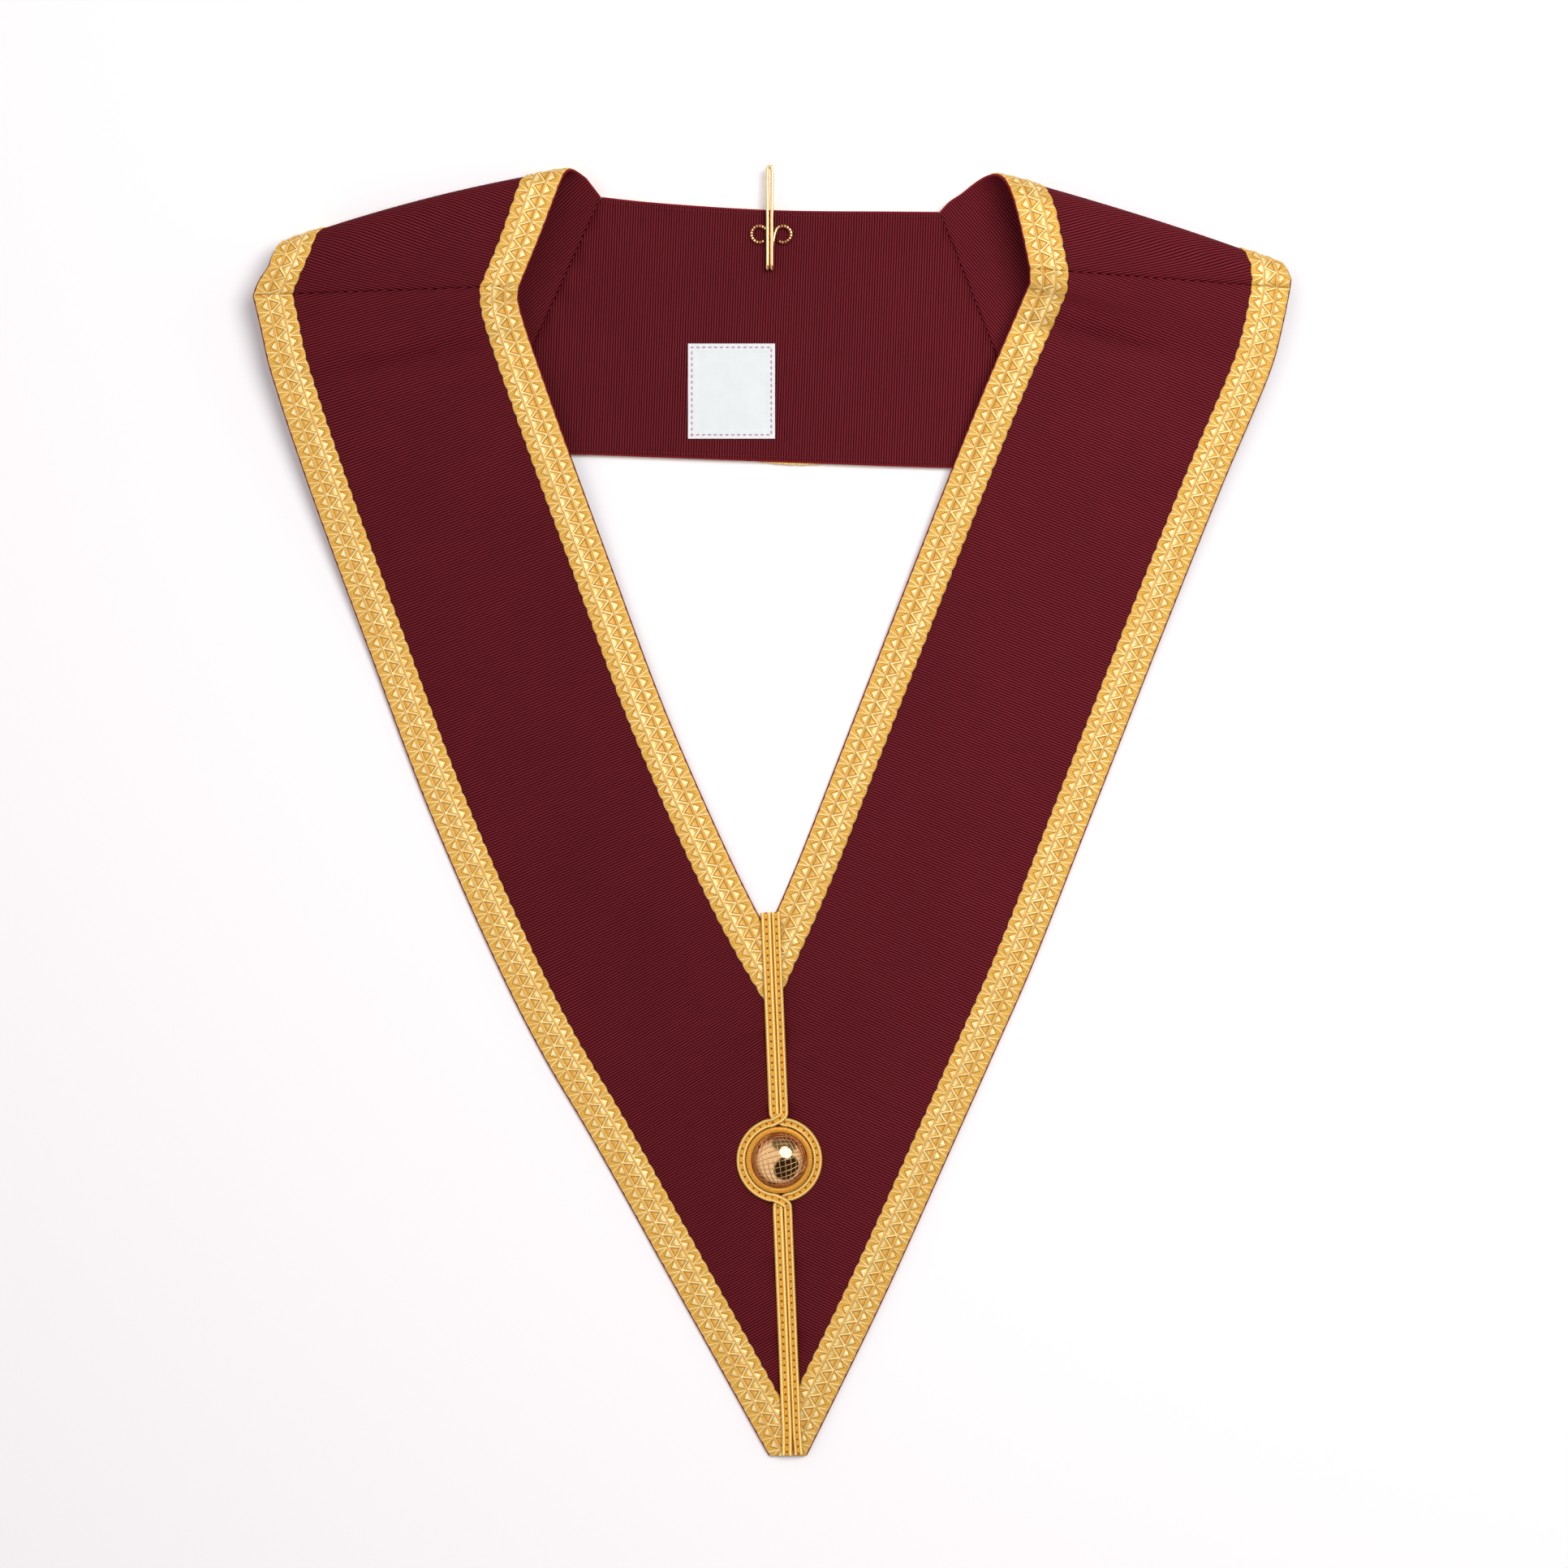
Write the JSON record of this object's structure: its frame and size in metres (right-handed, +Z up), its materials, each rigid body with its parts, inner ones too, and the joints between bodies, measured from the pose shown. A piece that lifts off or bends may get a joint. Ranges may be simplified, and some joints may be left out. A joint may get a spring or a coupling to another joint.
{
  "type": "masonic collar",
  "caption": "Dark red corded ribbon collar lying flat, edged in gold lace, with a mitred point, centre braid, domed gold button, wire neck hook and bare label.",
  "frame": {"origin": "on the table, under the middle of the collar's overall length and width", "axes": "+X to the viewer's right of the collar as it lies, +Y from the point to the back of the neck, +Z up from the table"},
  "size_m": [0.4104, 0.5122, 0.0242],
  "materials": {
    "dark_red_ribbon": "corded silk, satin",
    "gold_lace": "woven metal thread, satin",
    "gold_braid": "metal cord, satin",
    "gold_metal": "polished, gilt",
    "white_label": "matt"
  },
  "bodies": {
    "root": {"back_panel": "dark_red_ribbon", "shoulder_left": "dark_red_ribbon", "shoulder_right": "dark_red_ribbon", "front_left": "dark_red_ribbon", "front_right": "dark_red_ribbon", "lace_outer_back": "gold_lace", "lace_neck_back": "gold_lace", "lace_outer_shoulder_left": "gold_lace", "lace_neck_shoulder_left": "gold_lace", "lace_outer_shoulder_right": "gold_lace", "lace_neck_shoulder_right": "gold_lace", "lace_outer_front_left": "gold_lace", "lace_neck_front_left": "gold_lace", "lace_outer_front_right": "gold_lace", "lace_neck_front_right": "gold_lace", "braid_upper": "gold_braid", "braid_lower": "gold_braid", "braid_ring": "gold_braid", "button_base": "gold_braid", "button": "gold_metal", "neck_hook": "gold_metal", "label": "white_label"}
  },
  "joints": []
}
